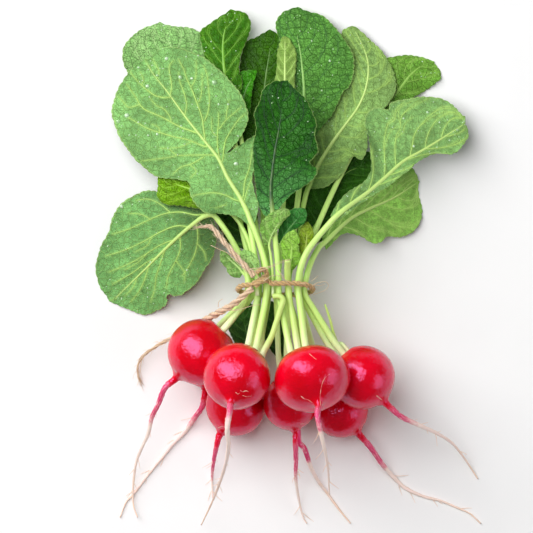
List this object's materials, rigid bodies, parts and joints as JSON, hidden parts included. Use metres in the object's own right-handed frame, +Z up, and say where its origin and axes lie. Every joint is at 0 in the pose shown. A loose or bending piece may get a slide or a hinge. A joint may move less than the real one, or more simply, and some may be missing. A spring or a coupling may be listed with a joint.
{
  "type": "bunch of radishes",
  "caption": "Fresh red radishes with long taproots and their leaves, tied into a lying bunch with jute twine.",
  "frame": {"origin": "middle of the overall box in X and Y, at the height of the resting surface in Z", "axes": "+Y along the bunch from the taproots towards the leaf tips, +Z up, away from the surface that the bunch lies on, +X to the right when seen from above with the leaves away from the viewer"},
  "size_m": [0.1744, 0.2333, 0.0697],
  "materials": {
    "radish_skin": "smooth moist skin, crimson, fading to pink and cream along the root",
    "leaf_upper": "matt leaf, upper face",
    "leaf_underside": "matt leaf, paler underside with raised veins",
    "young_leaf": "matt young leaf, yellow green",
    "leaf_stalk": "juicy pale stalk",
    "jute_twine": "coarse twisted jute"
  },
  "bodies": {
    "root": {"radish_left": "radish_skin", "radish_hidden_left": "radish_skin", "radish_front_left": "radish_skin", "radish_lower_left": "radish_skin", "radish_front_right": "radish_skin", "radish_lower_middle": "radish_skin", "radish_right": "radish_skin", "radish_lower_right": "radish_skin", "leaf_low_left": "leaf_upper", "leaf_low_middle": "leaf_upper", "leaf_gap_right": "leaf_upper", "leaf_right_tip": "leaf_upper", "leaf_gap_left": "leaf_upper", "leaf_top_left": "leaf_upper", "leaf_top_dark": "leaf_upper", "leaf_right_tall": "leaf_underside", "leaf_under_right": "leaf_underside", "leaf_top_middle": "leaf_upper", "leaf_narrow_pale": "leaf_underside", "leaf_small_bright": "leaf_upper", "young_leaf_left": "young_leaf", "leaf_left_lower": "leaf_underside", "leaf_left_yellow": "leaf_upper", "leaf_top_bright": "leaf_upper", "young_leaf_back": "young_leaf", "young_leaf_dark": "young_leaf", "young_leaf_bright": "young_leaf", "leaf_front_right": "leaf_underside", "young_leaf_round": "young_leaf", "leaf_front_left": "leaf_underside", "leaf_middle_dark": "leaf_upper", "young_leaf_pale": "young_leaf", "stalk_kinked": "leaf_stalk", "stalk_cut": "leaf_stalk", "stalk_thin": "leaf_stalk", "twine_loop": "jute_twine", "twine_tail_short": "jute_twine", "twine_tail_long": "jute_twine"}
  },
  "joints": []
}
